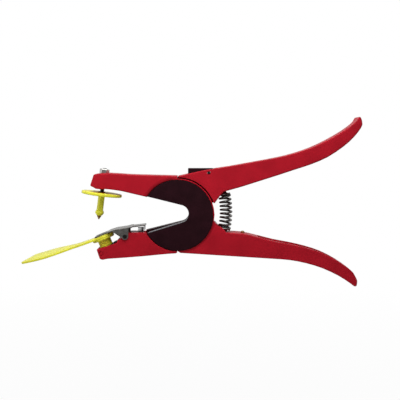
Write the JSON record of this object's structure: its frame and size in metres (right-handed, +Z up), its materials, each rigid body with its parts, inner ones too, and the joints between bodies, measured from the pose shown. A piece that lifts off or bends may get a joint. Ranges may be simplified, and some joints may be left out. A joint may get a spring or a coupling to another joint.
{
  "type": "ear tag applicator",
  "caption": "Two crossed jaws with handles turn about an open throat; pin and clip hold a two-part ear tag, with catch and return spring.",
  "frame": {"origin": "the turning centre of the two halves, in the open throat of the hub, halfway through the tool's width", "axes": "+X towards the handles, the jaws and the tag's flag lie at -X; +Z up, through the upper jaw; +Y away from the viewer of the picture"},
  "size_m": [0.3146, 0.0554, 0.155],
  "materials": {
    "red_coating": "painted",
    "black_cover": "satin",
    "bright_steel": "plated",
    "dark_steel": "blackened",
    "clip_sheet": "satin",
    "brass": "dull",
    "yellow_tag": "satin",
    "white_nylon": "matte"
  },
  "bodies": {
    "lower_half": {"lower_jaw_casting": "red_coating", "far_hub_cover": "black_cover", "female_tag": "yellow_tag", "seat_insert": "black_cover", "near_seat_pin": "red_coating", "far_seat_pin": "red_coating", "clip_pivot_pin": "dark_steel", "clip_spring": "bright_steel", "return_spring": "bright_steel", "upper_spring_stud": "dark_steel", "latch_pivot_pin": "dark_steel"},
    "upper_half": {"upper_jaw_casting": "red_coating", "near_hub_cover": "black_cover", "hub_liner": "white_nylon", "guide_rivet_1": "bright_steel", "guide_rivet_2": "bright_steel", "guide_rivet_3": "bright_steel", "guide_sleeve_1": "brass", "guide_sleeve_2": "brass", "guide_sleeve_3": "brass", "applicator_pin": "dark_steel", "pin_nut": "bright_steel", "male_tag": "yellow_tag", "male_tag_tip": "brass", "lower_spring_stud": "dark_steel", "spare_pin": "brass"},
    "clip": {"tag_clip": "clip_sheet"},
    "catch": {"catch_lever": "black_cover"}
  },
  "joints": [
    {"name": "jaw_closing", "type": "hinge", "parent": "lower_half", "child": "upper_half", "pos_m": [0, 0, 0], "axis": [0, -1, 0], "range_deg": [0, 24], "stiffness_Nm_per_rad": 14, "springref_deg": -4.01, "deforming": ["return_spring"]},
    {"name": "clip_lift", "type": "hinge", "parent": "lower_half", "child": "clip", "pos_m": [-0.0482, 0, -0.0191], "axis": [0, 1, 0], "range_deg": [0, 10], "stiffness_Nm_per_rad": 0.3, "springref_deg": -20.05, "deforming": ["clip_spring"]},
    {"name": "catch_press", "type": "hinge", "parent": "lower_half", "child": "catch", "pos_m": [0.0285, 0, 0.0388], "axis": [0, -1, 0], "range_deg": [0, 13]}
  ]
}
